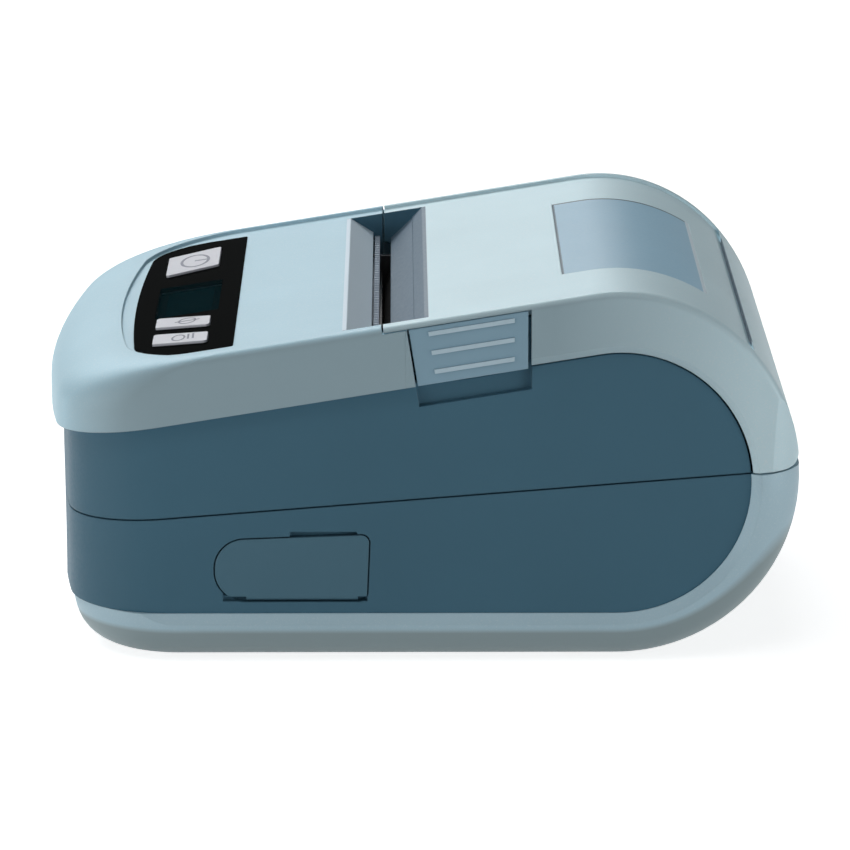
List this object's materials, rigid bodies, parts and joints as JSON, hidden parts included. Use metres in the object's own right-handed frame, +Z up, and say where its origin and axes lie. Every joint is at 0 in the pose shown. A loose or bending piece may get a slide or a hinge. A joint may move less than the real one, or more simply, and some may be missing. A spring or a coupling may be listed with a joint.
{
  "type": "portable thermal printer",
  "caption": "Hand-sized portable thermal printer with a curved hinged lid over the paper roll, a paper exit with tear bar, a display and keys, side latches and a flap over the sockets.",
  "frame": {"origin": "centre of the footprint, on the table under the foot pads", "axes": "+X towards the hinge end, +Y across to the far side, +Z up"},
  "size_m": [0.1366, 0.108, 0.0685],
  "materials": {
    "light_plastic": "fine satin, pale grey-blue",
    "slate_plastic": "satin, dark slate blue",
    "latch_plastic": "satin, mid grey-blue",
    "smoky_window": "smoky translucent sheet",
    "black_gloss": "polished black",
    "clear_lens": "tinted clear lens",
    "display_dark": "unlit display",
    "key_plastic": "satin pale grey",
    "board_green": "board lacquer",
    "steel": "plain steel",
    "tear_steel": "stamped steel",
    "screw_steel": "dark plated",
    "sink_aluminium": "bare",
    "heater_ceramic": "glazed ceramic",
    "black_plastic": "moulded black",
    "gear_plastic": "natural white moulding",
    "cradle_plastic": "dark moulding",
    "roller_rubber": "ground rubber",
    "foot_rubber": "soft rubber"
  },
  "bodies": {
    "housing": {"base_frame": "light_plastic", "battery_door": "slate_plastic", "battery_pack": "black_plastic", "case_screw_a": "screw_steel", "case_screw_b": "screw_steel", "case_screw_c": "screw_steel", "case_screw_d": "screw_steel", "display_lens": "clear_lens", "display_panel": "black_gloss", "foot_pad_a": "foot_rubber", "foot_pad_b": "foot_rubber", "foot_pad_c": "foot_rubber", "foot_pad_d": "foot_rubber", "front_cover": "light_plastic", "gear_axle": "steel", "head_sink": "sink_aluminium", "head_spring": "steel", "heater_strip": "heater_ceramic", "hinge_pin": "steel", "keypad_board": "board_green", "lcd_module": "display_dark", "lid_switch": "black_plastic", "lower_case": "slate_plastic", "main_board": "board_green", "mechanism_frame": "steel", "paper_sensor": "black_plastic", "port_pin": "steel", "power_socket": "black_plastic", "roll_cradle": "cradle_plastic", "socket_board": "board_green", "stepper_motor": "steel", "tear_bar": "tear_steel", "upper_case": "slate_plastic", "usb_socket": "steel"},
    "lid": {"lid": "light_plastic", "lid_window": "smoky_window", "platen_carrier": "black_plastic", "bush_near": "black_plastic", "bush_far": "black_plastic"},
    "platen": {"platen_roller": "roller_rubber", "platen_shaft": "steel", "platen_gear": "gear_plastic"},
    "latch_near": {"latch_near": "latch_plastic"},
    "latch_far": {"latch_far": "latch_plastic"},
    "power_key": {"power_key": "key_plastic"},
    "function_key": {"function_key": "key_plastic"},
    "feed_key": {"feed_key": "key_plastic"},
    "port_cover": {"port_cover": "slate_plastic"},
    "reduction_gear": {"reduction_gear": "gear_plastic"},
    "motor_pinion": {"motor_pinion": "black_plastic"}
  },
  "joints": [
    {"name": "lid_hinge", "type": "hinge", "parent": "housing", "child": "lid", "pos_m": [0.066, 0, 0.03804], "axis": [0, 1, 0], "range_deg": [0, 95]},
    {"name": "platen_spin", "type": "hinge", "parent": "lid", "child": "platen", "pos_m": [-0.0004, 0, 0.04741], "axis": [0, 1, 0], "continuous": true},
    {"name": "reduction_spin", "type": "hinge", "parent": "housing", "child": "reduction_gear", "pos_m": [-0.00207, 0.0457, 0.03674], "axis": [0, 1, 0], "continuous": true},
    {"name": "pinion_spin", "type": "hinge", "parent": "housing", "child": "motor_pinion", "pos_m": [-0.01311, 0.0478, 0.02845], "axis": [0, 1, 0], "continuous": true},
    {"name": "latch_near_slide", "type": "slide", "parent": "housing", "child": "latch_near", "axis": [0.1599, 0, -0.9871], "range_m": [0, 0.003], "stiffness_N_per_m": 400, "springref_m": -0.002},
    {"name": "latch_far_slide", "type": "slide", "parent": "housing", "child": "latch_far", "axis": [0.1599, 0, -0.9871], "range_m": [0, 0.003], "stiffness_N_per_m": 400, "springref_m": -0.002},
    {"name": "power_key_press", "type": "slide", "parent": "housing", "child": "power_key", "axis": [0.1599, 0, -0.9871], "range_m": [0, 0.0005], "stiffness_N_per_m": 600, "springref_m": -0.0005},
    {"name": "function_key_press", "type": "slide", "parent": "housing", "child": "function_key", "axis": [0.1599, 0, -0.9871], "range_m": [0, 0.0005], "stiffness_N_per_m": 600, "springref_m": -0.0005},
    {"name": "feed_key_press", "type": "slide", "parent": "housing", "child": "feed_key", "axis": [0.1599, 0, -0.9871], "range_m": [0, 0.0005], "stiffness_N_per_m": 600, "springref_m": -0.0005},
    {"name": "port_cover_hinge", "type": "hinge", "parent": "housing", "child": "port_cover", "pos_m": [-0.021, -0.0517, 0.0125], "axis": [1, 0, 0], "range_deg": [0, 95]}
  ],
  "couplings": [
    {"joint": "reduction_spin", "follows": "platen_spin", "ratio": -1.5714},
    {"joint": "pinion_spin", "follows": "platen_spin", "ratio": 5.6571}
  ]
}
